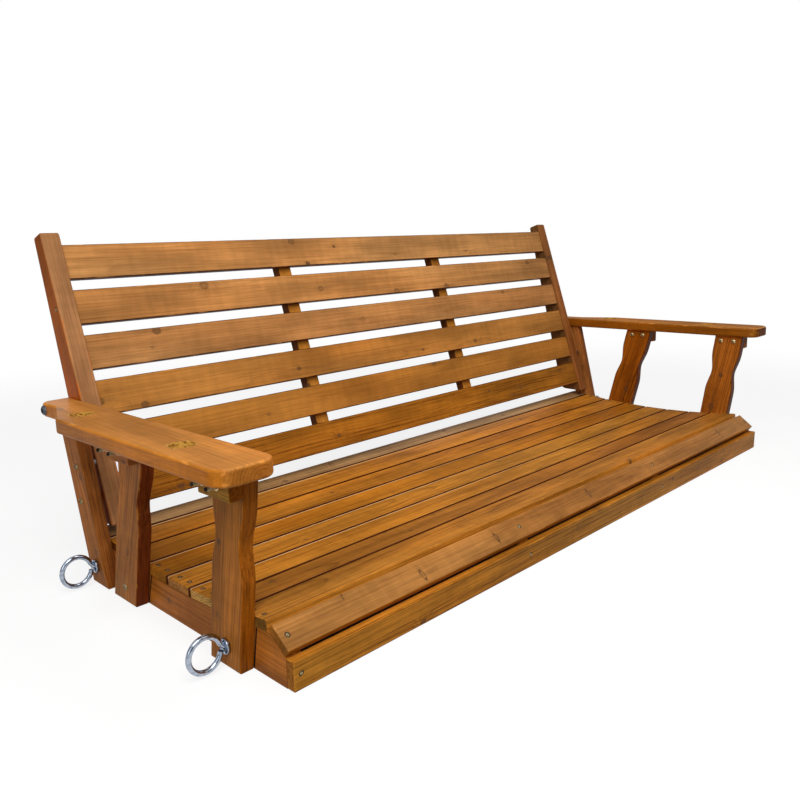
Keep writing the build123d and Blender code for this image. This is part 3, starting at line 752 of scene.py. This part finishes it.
def stained_board(node):
    kind = slot_of[node]
    middle, axes = board_axes(node)
    pale, deep = stains[kind]
    face, side, end_cut = (tints[name] + (1,) for name in board_tints.get(node, kind_tints[kind]))
    pith = (draw.uniform(-0.012, 0.012), draw.uniform(-50, 50), draw.uniform(-110, -40))
    ring_width = draw.uniform(2.2, 3.6)
    if node in heart_boards:
        pith, ring_width = heart_boards[node]
    material, tree = new_material(node + " wood")
    place = put(tree, "TexCoord").outputs["Object"]
    mapping = {"Vector": place, "Location": middle, "Rotation": axes.to_euler(), "Scale": (0.001,) * 3}
    board = put(tree, "Mapping", mapping, vector_type="TEXTURE").outputs[0]
    normal = put(tree, "NewGeometry").outputs["Normal"]
    mapping = {"Vector": normal, "Rotation": axes.to_euler()}
    inputs = {
        "Board": board,
        "Facing": put(tree, "Mapping", mapping, vector_type="TEXTURE").outputs[0],
        "Pith": pith,
        "Offset": [draw.uniform(0, 60) for _ in range(3)],
        "Ring width": ring_width,
        "Contrast": draw.uniform(0.35, 0.6),
        "Figure": board_figures.get(node, figures[kind]),
        "Pale": pale, "Deep": deep,
        "Face": face, "Side": side, "End": end_cut,
        "Edge": (tints["plain"] if node in plain_edges else edge_tints[kind]) + (1,),
        "Knot": 0.0, "Swirl": 0.0,
    }
    stretch, bark = knot_shapes["spike" if node in spike_knots else "round"]
    for along, across, radius, heart in knots[node]:
        branch = {"Board": board, "Place": (along, across, 0), "Stretch": stretch}
        branch |= {"Radius": radius, "Heart": heart, "Bark": bark}
        made = grown(tree, knot, branch | {name: inputs[name] for name in ("Knot", "Swirl")})
        inputs |= {name: made[name] for name in ("Knot", "Swirl")}
    grain = grown(tree, wood, inputs)
    color = grain["Color"]
    for hole in chain_holes if kind == "arm_wood" else ():
        place = in_board(hole["pos_m"], middle, axes)
        drilled = {"Board": board, "Place": place, "Radius": hole["dims"]["r_mm"], "Color": color}
        color = grown(tree, bore, drilled)["Color"]
    if node in gap_slats:
        color = gap_edges(tree, node, board, middle, axes, color)
    if node.startswith("side_rail"):
        for row in ("front", "rear"):
            post = node.replace("side_rail", row + "_arm_post")
            color = shade_beside_post(tree, post, board, middle, axes, color)
    relief = {"Height": grain["Height"], "Strength": relief_strength, "Distance": relief_depth}
    finish = {
        "Base Color": color,
        "Roughness": grain["Roughness"],
        "Normal": put(tree, "Bump", relief).outputs[0],
        "Specular IOR Level": polishes[kind],
    }
    varnish = put(tree, "BsdfPrincipled", finish)
    put(tree, "OutputMaterial", {"Surface": varnish.outputs[0]})
    return material


for node in boards:
    frame["nodes"][node].material_slots[0].material = stained_board(node)
print("stained", len(boards), "boards")

# %% [markdown]
# ## Plated steel
# The eye bolts and the bolts in the armrest tabs are steel with a thin bright coat of zinc. The wood
# screws and the post bolts and their nuts have a yellow one, and the spacers behind the struts a
# dull, nearly black one, which is painted shade of the narrow gap they sit in. All are metals that
# mirror the room, a little clouded and finely scratched. One flat metal would look like plastic, so
# noise breaks up the colour and the gloss, and a value stored on the points of each piece darkens
# their recesses, thread roots and bores, gives some heads a darker finish, and round each sunk screw
# head paints the shade of the deep hole it sits in. Collars, washers and spacers are plain discs
# already, so they only get a coat.

# %% Make the three coats
bloom_scale = 190.0
rub_grain, rub_strength, rub_depth = (900, 2600, 500), 0.10, 0.0002
grime_shade_rough, grime_shade_loss = 0.45, 0.9
zinc_specular = 0.1


def plated(name, clean, stained, polish, grime_shade_color):
    """A zinc coat; clean and stained are its colours, polish its lowest and highest roughness."""
    material, tree = new_material(name)
    place = put(tree, "TexCoord").outputs["Object"]
    bloom = noise(tree, place, 4.0, scale=bloom_scale)["Fac"]
    rub = noise(tree, turn(tree, "MULTIPLY", place, rub_grain), 3.0, 0.7)["Fac"]
    coat = mixed(tree, slope(tree, bloom, 0.35, 0.68), clean, stained)
    grime = put(tree, "Attribute", attribute_name="grime").outputs["Fac"]
    grime = times(tree, grime, slope(tree, bloom, 0.2, 0.5, 0.75, 1.0))
    gloss = slope(tree, rub, 0.3, 0.7, *polish)
    gloss = calc(tree, "ADD", gloss, times(tree, grime, grime_shade_rough))
    relief = put(tree, "Bump", {"Height": rub, "Strength": rub_strength, "Distance": rub_depth})
    finish = {
        "Base Color": mixed(tree, grime, coat, grime_shade_color),
        "Metallic": calc(tree, "SUBTRACT", 1.0, times(tree, grime, grime_shade_loss)),
        "Roughness": gloss,
        "Normal": relief.outputs[0],
        "Specular IOR Level": zinc_specular,
    }
    steel = put(tree, "BsdfPrincipled", finish)
    put(tree, "OutputMaterial", {"Surface": steel.outputs[0]})
    return material


grey_grime_shade, brown_grime_shade = (0.02, 0.017, 0.015, 1), (0.014, 0.008, 0.004, 1)
coats = {
    "bright_zinc": plated(
        "bright zinc", (0.42, 0.47, 0.55, 1), (0.25, 0.29, 0.36, 1), (0.12, 0.24), grey_grime_shade),
    "yellow_zinc": plated(
        "yellow zinc", (0.64, 0.50, 0.27, 1), (0.38, 0.27, 0.12, 1), (0.20, 0.36), brown_grime_shade),
    # A nearly black coat for the spacers: painted shade of the narrow gap they sit in.
    "dull_zinc": plated(
        "dull zinc", (0.16, 0.15, 0.14, 1), (0.08, 0.07, 0.06, 1), (0.42, 0.6), grey_grime_shade),
}
plain_coats = {name: slot_of[name] for name in sorted(slot_of) if name.startswith("eye_washers")}
plain_coats["strut_spacers"] = "dull_zinc"
for node, coat in plain_coats.items():
    frame["nodes"][node].material_slots[0].material = coats[coat]
print("coats", list(coats), "and", len(plain_coats), "sets of plain discs plated")

# %% [markdown]
# ## Turning and cutting by hand
# Screws and bolts are lathe work, so they are modelled the way a lathe would show them: a disc is
# extruded and resized again and again, from the top of the head to the tip. A spun outline would
# give the same shape, but here each line of the list is one cut. Recesses are then cut with tools
# that are taken away afterwards. All of this is done in millimetres and shrunk when it is placed.

# %% Helpers that turn and cut
def close_mesh():
    """Leaves edit mode with doubles merged and normals pointing out."""
    bpy.ops.mesh.select_all(action="SELECT")
    bpy.ops.mesh.remove_doubles(threshold=0.001)
    bpy.ops.mesh.normals_make_consistent(inside=False)
    mode("OBJECT")


def lengthen(outline, way):
    """Extrudes the picked disc one way, through an outline of radius and place."""
    (radius, place), *cuts = outline
    for next_radius, next_place in cuts:
        bpy.ops.mesh.extrude_region_move(TRANSFORM_OT_translate={"value": way * (next_place - place)})
        share = next_radius / radius
        across = Vector((share, share, share)) + way * (1 - share)
        bpy.ops.transform.resize(value=across, center_override=way * next_place)
        radius, place = next_radius, next_place


def turned(name, outline, sides=24):
    """A closed solid from an outline of radius and height, top first."""
    radius, height = outline[0]
    bpy.ops.mesh.primitive_circle_add(
        vertices=sides, radius=radius, fill_type="NGON", location=(0, 0, height))
    bpy.ops.object.transform_apply(location=True)
    piece = bpy.context.object
    piece.name = name
    pick(piece, lambda face: True)
    lengthen(outline, Vector((0, 0, 1)))
    close_mesh()
    return piece


def cut(piece, tool, operation="DIFFERENCE"):
    select_only(piece)
    boolean = piece.modifiers.new("cut", "BOOLEAN")
    boolean.object = tool
    boolean.operation = operation
    bpy.ops.object.modifier_apply(modifier=boolean.name)
    bpy.data.objects.remove(tool)


def thread(crest, root, top, bottom, pitch):
    """Outline of a thread as rings, because its slight climb can't be seen."""
    turns = int((top - bottom) / pitch)
    return [(radius, top - (turn_number + part) * pitch)
            for turn_number in range(turns) for part, radius in ((0.0, crest), (0.5, root))]


print("a thread of 10 mm has", len(thread(3, 2.6, 0, -10, 1)), "rings")

# %% [markdown]
# ## Cross recesses and hex sockets
# The screw heads have the usual cross recess, two tapered slots that cross, and the strut screws
# and tab bolts have a six-sided socket. Each could be drawn on the head with a picture, but then it
# would have no depth, so a tapered block and a six-sided plug are modelled as tools and cut out.

# %% Cut the recesses
def cut_cross(piece, length, width, depth):
    for quarter in (0, pi / 2):
        bpy.ops.mesh.primitive_cube_add(size=1, location=(0, 0, 0.5 - depth / 2))
        tool = bpy.context.object
        bpy.ops.transform.resize(value=(length, width, depth + 1.0))
        bpy.ops.object.transform_apply(location=True, scale=True)
        pick(tool, lambda face: face.normal.z < -0.9)
        bpy.ops.transform.resize(value=(0.35, 0.6, 1), center_override=(0, 0, -depth))
        bpy.ops.mesh.select_all(action="SELECT")
        bpy.ops.transform.rotate(value=quarter, orient_axis="Z", center_override=(0, 0, 0))
        mode("OBJECT")
        cut(piece, tool)


def cut_socket(piece, flats, depth):
    radius = flats / 2 / cos(pi / 6)
    bpy.ops.mesh.primitive_cylinder_add(
        vertices=6, radius=radius, depth=depth + 1, location=(0, 0, 0.5 - depth / 2))
    tool = bpy.context.object
    bpy.ops.object.transform_apply(location=True)
    pick(tool, lambda face: face.normal.z < -0.9)
    bpy.ops.mesh.extrude_region_move(TRANSFORM_OT_translate={"value": (0, 0, -0.25 * flats)})
    bpy.ops.transform.resize(value=(0.1, 0.1, 1), center_override=(0, 0, -depth))
    close_mesh()
    cut(piece, tool)


def soil_and_shade(piece, test):
    """Stores how dark each point is, for grime, a darker finish and painted shade, from a rule on its
    distance from the axis and its height.
    """
    darkening = piece.data.attributes.new("grime", "FLOAT", "POINT")
    darkening.data.foreach_set("value", [test(v.co.xy.length, v.co.z) for v in piece.data.vertices])
    return piece


print("recess helpers ready")

# %% [markdown]
# ## Screws and bolts
# There are flat-headed wood screws sunk into the boards, domed screws in the struts and posts, and
# domed bolts through the tops of the posts and the tabs of the armrests. Each kind is modelled
# once, with its top at the origin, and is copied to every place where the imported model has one,
# with its own turn of the recess. The numbers in a list are radius and height, or shares of them.

# %% Model one of each kind
def sunk_screw(length):
    outline = [(1.7, 0), (2.3, -0.02), (4.0, 0), (4.3, -0.3), (2.1, -2.5)]
    outline += thread(2.1, 1.5, -6, 7 - length, 2.6) + [(1.7, 6 - length), (0.25, -length)]
    piece = turned("sunk_screw", outline, 20)
    cut_cross(piece, length=4.6, width=1.0, depth=1.7)
    # Black in the cross recess and below the head, and nearly black on the rim of the head as painted
    # shade of the deep hole it sits in.
    return soil_and_shade(piece, lambda out, height: 1.0 if height < -0.6 else 0.85 * (out > 2.0))


dome = ((0.24, 0), (0.50, -0.10), (0.74, -0.30), (0.90, -0.58), (0.985, -0.88), (1.0, -1.0))


def domed_screw(length, head, rise, shank, dull, socket=False):
    outline = [(head * share, height * rise) for share, height in dome]
    outline += [(shank, -rise), (shank, -rise - 8)]
    outline += thread(shank, 0.76 * shank, -rise - 9, 9 - length, 2.6)
    outline += [(0.8 * shank, 6 - length), (0.3, -length)]
    piece = turned("domed_screw", outline, 28)
    if socket:
        cut_socket(piece, 0.74 * head, 0.66 * rise)
    else:
        cut_cross(piece, 1.15 * head, 0.22 * head, 0.75 * rise)

    def darkening(out, height):
        return 1.0 if out < 0.6 * head and -1.3 * rise < height < -0.42 * rise else dull

    return soil_and_shade(piece, darkening)


def machine_bolt(length, head, rise, shank, threaded, dull, socket=False):
    outline = [(head * share, height * rise) for share, height in dome]
    outline += [(shank, -rise), (shank, threaded - length)]
    outline += thread(shank, 0.86 * shank, threaded - length - 0.5, 1 - length, 1.0)
    outline += [(0.9 * shank, 0.8 - length), (0.78 * shank, -length)]
    piece = turned("machine_bolt", outline, 28)
    if socket:
        cut_socket(piece, 0.93 * head, 0.62 * rise)
    else:
        cut_cross(piece, 1.1 * head, 0.2 * head, 0.7 * rise)

    def darkening(out, height):
        in_recess = out < 0.6 * head and -1.3 * rise < height < -0.45 * rise
        in_thread = out < 0.92 * shank and height < threaded - length
        return 1.0 if in_recess or in_thread else dull

    return soil_and_shade(piece, darkening)


print("a domed head is turned in", len(dome), "cuts")

# %% Find where each screw and bolt sits
def loose_parts(node):
    """The points of each separate solid in a node, from a merged copy that is deleted again."""
    copy = bpy.data.objects.new("loose", frame["nodes"][node].data.copy())
    bpy.context.scene.collection.objects.link(copy)
    select_only(copy)
    mode("EDIT")
    bpy.ops.mesh.select_all(action="SELECT")
    bpy.ops.mesh.remove_doubles(threshold=1e-6)
    bpy.ops.mesh.separate(type="LOOSE")
    mode("OBJECT")
    pieces = bpy.context.selected_objects
    points = [np.array([v.co[:] for v in piece.data.vertices]) for piece in pieces]
    bpy.ops.object.delete()
    return sorted(points, key=lambda part: tuple(part.mean(axis=0).round(4)))


def fixings(node):
    """Top of the head, direction out of it, and length, of each screw or bolt in a node."""
    found = []
    for points in loose_parts(node):
        middle = points.mean(axis=0)
        axis = np.linalg.svd(points - middle, full_matrices=False)[2][0]
        along = (points - middle) @ axis
        out = np.linalg.norm(points - middle - np.outer(along, axis), axis=1)
        near = 0.1 * np.ptp(along)
        if out[along < along.min() + near].max() > out[along > along.max() - near].max():
            axis, along = -axis, -along
        found.append((Vector(middle + axis * along.max()), Vector(axis), np.ptp(along)))
    return found


top, out, length = fixings("arm_tab_bolts")[0]
print("a tab bolt is", round(length * 1000, 1), "mm long and faces", [round(c, 2) for c in out])

# %% Put them all in
smooth_angle = 32


def settle(master, places, node, body):
    """Puts copies of a master, shrunk to metres, at its places, as one piece that stands for a node."""
    copies = []
    for matrix in places:
        copies.append(bpy.data.objects.new(master.name, master.data.copy()))
        copies[-1].data.transform(matrix @ Matrix.Scale(0.001, 4))
        bpy.context.scene.collection.objects.link(copies[-1])
    select_only(*copies)
    if len(copies) > 1:
        bpy.ops.object.join()
    piece = bpy.context.object
    piece.name = node + "_turned"
    piece.data.materials.clear()
    piece.data.materials.append(coats[slot_of[node]])
    bpy.ops.object.shade_smooth_by_angle(angle=radians(smooth_angle))
    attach(piece, body)
    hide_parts(node)
    return piece


sunk = ("seat_slat_screws", "frame_screws", "stile_screws", "back_slat_screws", "cleat_screws")
domed = {"head": 5.5, "rise": 3.0, "shank": 2.75, "dull": 0.5}
post_bolt = {"head": 6.5, "rise": 3.2, "shank": 3.0, "threaded": 26, "dull": 0.1}
tab_bolt = {"head": 8.5, "rise": 5.0, "shank": 3.5, "threaded": 30, "dull": 0.75}
makers = {node: sunk_screw for node in sunk} | {
    "strut_screws": partial(domed_screw, **domed, socket=True),
    "arm_post_screws": partial(domed_screw, **domed),
    "arm_post_bolts": partial(machine_bolt, **post_bolt),
    "arm_tab_bolts": partial(machine_bolt, **tab_bolt, socket=True),
}
for node, maker in makers.items():
    found = fixings(node)
    master = maker(found[0][2] * 1000)
    places = []
    for top, out, length in found:
        facing_out = out.to_track_quat("Z", "Y").to_matrix().to_4x4()
        spin = Matrix.Rotation(draw.uniform(0, 2 * pi), 4, "Z")
        places.append(Matrix.Translation(top) @ facing_out @ spin)
    piece = settle(master, places, node, "bench")
    bpy.data.objects.remove(master)
    print(piece.name, len(places), "copies,", len(piece.data.polygons), "faces")

# %% [markdown]
# ## Nuts
# Each bolt is closed with a six-sided nut whose corners are turned down to a cone. A bevel on the
# corners would leave straight facets, so a six-sided bar is cut to the part it shares with a turned
# double cone, which leaves the real curved edges, and then it is bored.

# %% Model and place the nuts
def hex_nut(flats, height, hole):
    bpy.ops.mesh.primitive_cylinder_add(vertices=6, radius=flats / 2 / cos(pi / 6), depth=height)
    nut = bpy.context.object
    face, high, corner = 0.47 * flats, height / 2, 0.62 * flats
    drop = (corner - face) * 0.58
    cone = [(face, high), (corner, high - drop), (corner, drop - high), (face, -high)]
    cut(nut, turned("cone", cone, 48), "INTERSECT")
    chamfer = 0.12 * hole
    mouth = hole + 2 * chamfer
    drill = [(mouth, high + chamfer), (hole, high - chamfer)]
    drill += [(radius, -place) for radius, place in reversed(drill)]
    cut(nut, turned("bore", drill, 24))
    pick(nut, lambda face: True)
    close_mesh()
    return soil_and_shade(nut, lambda out, height: float(out < hole * 1.15))


def put_nuts(node, body, flats, height, hole):
    nut = hex_nut(flats, height, hole)
    places = []
    for points in loose_parts(node):
        middle = Vector((points.min(axis=0) + points.max(axis=0)) / 2)
        lying = Matrix.Rotation(pi / 2, 4, "Y") @ Matrix.Rotation(draw.uniform(0, pi), 4, "Z")
        places.append(Matrix.Translation(middle) @ lying)
    piece = settle(nut, places, node, body)
    bpy.data.objects.remove(nut)
    return piece


eyes = [f"{row}_{side}" for side in ("left", "right") for row in ("front", "rear")]
post_nuts = put_nuts("arm_post_nuts", "bench", flats=10.0, height=5.2, hole=3.05)
for eye in eyes:
    eye_nut = put_nuts("eye_nut_" + eye, eye + "_eye", flats=13.0, height=7.0, hole=4.05)
print("post nuts have", len(post_nuts.data.polygons), "faces, an eye nut", len(eye_nut.data.polygons))

# %% [markdown]
# ## Eye bolts
# An eye bolt is one length of steel wire. Its threaded end goes through the wood, and the rest is
# bent up and then round into a ring whose end meets the neck, which leaves a small V between them.
# A torus stuck on a cylinder would have no such bend, so a disc is extruded along the shank and
# then spun twice, round the middle of the bend and round the middle of the ring.

# %% Bend one eye bolt
wire = 4.0
ring_radius = 24.25
bend_radius = 14.8
bend_start = -36.14
bend_turn = radians(67.73)
ring_turn = radians(328)
bend_steps, ring_steps = 14, 84
tail, tail_radius = -92.65, 3.1
thread_root, thread_start, thread_end, thread_pitch = 3.45, 91.65, 75.25, 1.25
plain_start, plain_middle = -74.25, -56.0

bpy.ops.mesh.primitive_circle_add(
    vertices=24, radius=tail_radius, fill_type="NGON", location=(tail, 0, 0), rotation=(0, pi / 2, 0))
bpy.ops.object.transform_apply(location=True, rotation=True)
eye_bolt = bpy.context.object
eye_bolt.name = "eye_bolt"
pick(eye_bolt, lambda face: True)
rings = thread(wire, thread_root, thread_start, thread_end, thread_pitch)
shank = [(tail_radius, tail), (0.85 * wire, tail + 0.6)]
shank += [(radius, -place) for radius, place in rings]
shank += [(wire, plain_start), (wire, plain_middle), (wire, bend_start)]
lengthen(shank, Vector((1, 0, 0)))
bend_middle = (bend_start, 0, bend_radius)
bpy.ops.mesh.spin(steps=bend_steps, angle=bend_turn, center=bend_middle, axis=(0, 1, 0))
bpy.ops.mesh.spin(steps=ring_steps, angle=ring_turn, center=(0, 0, 0), axis=(0, -1, 0))
bpy.ops.mesh.inset(thickness=0.5)
close_mesh()
soil_and_shade(eye_bolt, lambda out, height: 0.0)
low = [min(v.co[axis] for v in eye_bolt.data.vertices) for axis in range(3)]
high = [max(v.co[axis] for v in eye_bolt.data.vertices) for axis in range(3)]
print("eye bolt from", [round(c, 1) for c in low], "to", [round(c, 1) for c in high], "mm")

# %% Put an eye bolt at each corner
ring_end = max(abs(corner[0]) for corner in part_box("eye_bolt_front_right"))
ring_out = ring_end - (ring_radius + wire) / 1000
for eye in eyes:
    low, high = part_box("eye_bolt_" + eye)
    side = 1 if eye.endswith("right") else -1
    middle = Vector((side * ring_out, (low[1] + high[1]) / 2, (low[2] + high[2]) / 2))
    half_turn = Matrix.Rotation(0 if side > 0 else pi, 4, "Z")
    place = Matrix.Translation(middle) @ half_turn
    piece = settle(eye_bolt, [place], "eye_bolt_" + eye, eye + "_eye")
    print(piece.name, "ring at", [round(c, 4) for c in middle])
bpy.data.objects.remove(eye_bolt)
